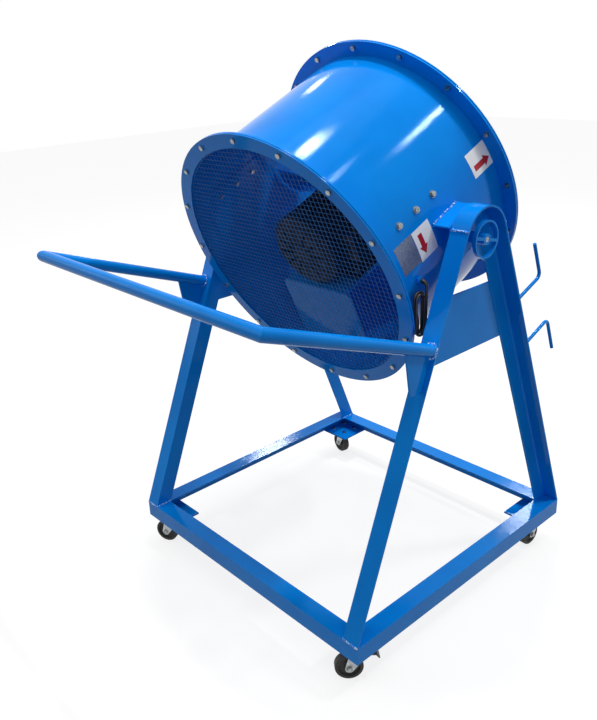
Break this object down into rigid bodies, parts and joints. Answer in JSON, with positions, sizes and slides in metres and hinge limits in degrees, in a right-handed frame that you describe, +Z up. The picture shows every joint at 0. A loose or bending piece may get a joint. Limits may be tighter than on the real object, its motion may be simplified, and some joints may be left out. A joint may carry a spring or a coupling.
{
  "type": "mobile drum fan",
  "caption": "Mobile drum fan: steel drum with mesh guards on trunnions, tilting in an angle-iron A-frame stand with push handle, cable hooks and swivel casters.",
  "frame": {"origin": "on the floor, midway between the four casters", "axes": "+X on the right of whoever pushes the handle, +Y towards the outlet end, +Z up"},
  "size_m": [0.9318, 1.1753, 1.5364],
  "materials": {
    "blue_paint": "glossy bright blue enamel",
    "zinc_plated_steel": "zinc plated",
    "bolt_steel": "zinc plated fasteners",
    "mesh_wire": "painted welded wire",
    "motor_enamel": "dark satin enamel",
    "black_plastic": "moulded",
    "cable_jacket": "smooth jacket",
    "gland_plastic": "moulded nylon",
    "machined_steel": "ground",
    "cast_aluminium": "turned casting",
    "blade_aluminium": "as rolled",
    "black_tread": "solid tread",
    "pedal_plastic": "moulded"
  },
  "bodies": {
    "stand": {"front_rail": "blue_paint", "right_rail": "blue_paint", "rear_rail": "blue_paint", "left_rail": "blue_paint", "corner_plates": "blue_paint", "leg_front_right": "blue_paint", "leg_front_left": "blue_paint", "leg_rear_right": "blue_paint", "leg_rear_left": "blue_paint", "head_straps": "blue_paint", "head_plates": "blue_paint", "side_gussets": "blue_paint", "push_handle": "blue_paint", "handle_gussets": "blue_paint", "upper_cable_hook": "blue_paint", "lower_cable_hook": "blue_paint", "caster_plates": "zinc_plated_steel", "caster_plate_bolts": "bolt_steel"},
    "drum": {"drum_shell": "blue_paint", "front_flange": "blue_paint", "rear_flange": "blue_paint", "front_mesh": "mesh_wire", "rear_mesh": "mesh_wire", "front_guard_ring": "blue_paint", "rear_guard_ring": "blue_paint", "front_flange_bolts": "bolt_steel", "rear_flange_bolts": "bolt_steel", "trunnion_brackets": "blue_paint", "pivot_bolts": "bolt_steel", "motor_body": "motor_enamel", "motor_cowl": "motor_enamel", "terminal_box": "black_plastic", "motor_cradle": "blue_paint", "foot_bolts": "bolt_steel", "cradle_bolts": "bolt_steel", "motor_lead": "cable_jacket", "cord_gland": "gland_plastic", "cord_stretch": "cable_jacket", "cord_hank": "cable_jacket"},
    "impeller": {"motor_shaft": "machined_steel", "impeller_hub": "cast_aluminium", "hub_bolt": "bolt_steel", "impeller_blades": "blade_aluminium"},
    "clamping_ring_right": {"clamping_ring_right": "blue_paint"},
    "clamping_ring_left": {"clamping_ring_left": "blue_paint"},
    "fork_front_right": {"caster_fork_front_right": "zinc_plated_steel", "caster_axle_front_right": "bolt_steel"},
    "wheel_front_right": {"caster_wheel_front_right": "black_tread"},
    "pedal_front_right": {"brake_pedal_front_right": "pedal_plastic"},
    "fork_front_left": {"caster_fork_front_left": "zinc_plated_steel", "caster_axle_front_left": "bolt_steel"},
    "wheel_front_left": {"caster_wheel_front_left": "black_tread"},
    "pedal_front_left": {"brake_pedal_front_left": "pedal_plastic"},
    "fork_rear_left": {"caster_fork_rear_left": "zinc_plated_steel", "caster_axle_rear_left": "bolt_steel"},
    "wheel_rear_left": {"caster_wheel_rear_left": "black_tread"},
    "fork_rear_right": {"caster_fork_rear_right": "zinc_plated_steel", "caster_axle_rear_right": "bolt_steel"},
    "wheel_rear_right": {"caster_wheel_rear_right": "black_tread"}
  },
  "joints": [
    {"name": "drum_tilt", "type": "hinge", "parent": "stand", "child": "drum", "pos_m": [0, 0, 1.077], "axis": [1, 0, 0], "range_deg": [-114.5, 65.5]},
    {"name": "impeller_spin", "type": "hinge", "parent": "drum", "child": "impeller", "pos_m": [0, 0, 1.077], "axis": [0, 0.91, 0.4147], "continuous": true},
    {"name": "clamping_ring_right_turn", "type": "hinge", "parent": "stand", "child": "clamping_ring_right", "pos_m": [0.46, 0, 1.077], "axis": [1, 0, 0], "range_deg": [0, 180]},
    {"name": "clamping_ring_left_turn", "type": "hinge", "parent": "stand", "child": "clamping_ring_left", "pos_m": [-0.46, 0, 1.077], "axis": [-1, 0, 0], "range_deg": [0, 180]},
    {"name": "caster_swivel_front_right", "type": "hinge", "parent": "stand", "child": "fork_front_right", "pos_m": [0.4115, -0.4115, 0.09], "axis": [0, 0, 1], "continuous": true},
    {"name": "wheel_spin_front_right", "type": "hinge", "parent": "fork_front_right", "child": "wheel_front_right", "pos_m": [0.39891, -0.42704, 0.0375], "axis": [-0.7771, 0.6293, 0], "continuous": true},
    {"name": "brake_pedal_front_right", "type": "hinge", "parent": "fork_front_right", "child": "pedal_front_right", "pos_m": [0.42094, -0.39984, 0.0742], "axis": [-0.7771, 0.6293, 0], "range_deg": [0, 10]},
    {"name": "caster_swivel_front_left", "type": "hinge", "parent": "stand", "child": "fork_front_left", "pos_m": [-0.4115, -0.4115, 0.09], "axis": [0, 0, 1], "continuous": true},
    {"name": "wheel_spin_front_left", "type": "hinge", "parent": "fork_front_left", "child": "wheel_front_left", "pos_m": [-0.42932, -0.42058, 0.0375], "axis": [-0.454, 0.891, 0], "continuous": true},
    {"name": "brake_pedal_front_left", "type": "hinge", "parent": "fork_front_left", "child": "pedal_front_left", "pos_m": [-0.39814, -0.40469, 0.0742], "axis": [-0.454, 0.891, 0], "range_deg": [0, 10]},
    {"name": "caster_swivel_rear_left", "type": "hinge", "parent": "stand", "child": "fork_rear_left", "pos_m": [-0.4115, 0.4115, 0.09], "axis": [0, 0, 1], "continuous": true},
    {"name": "wheel_spin_rear_left", "type": "hinge", "parent": "fork_rear_left", "child": "wheel_rear_left", "pos_m": [-0.43113, 0.41532, 0.0375], "axis": [0.1908, 0.9816, 0], "continuous": true},
    {"name": "caster_swivel_rear_right", "type": "hinge", "parent": "stand", "child": "fork_rear_right", "pos_m": [0.4115, 0.4115, 0.09], "axis": [0, 0, 1], "continuous": true},
    {"name": "wheel_spin_rear_right", "type": "hinge", "parent": "fork_rear_right", "child": "wheel_rear_right", "pos_m": [0.41045, 0.39153, 0.0375], "axis": [-0.9986, 0.0523, 0], "continuous": true}
  ]
}
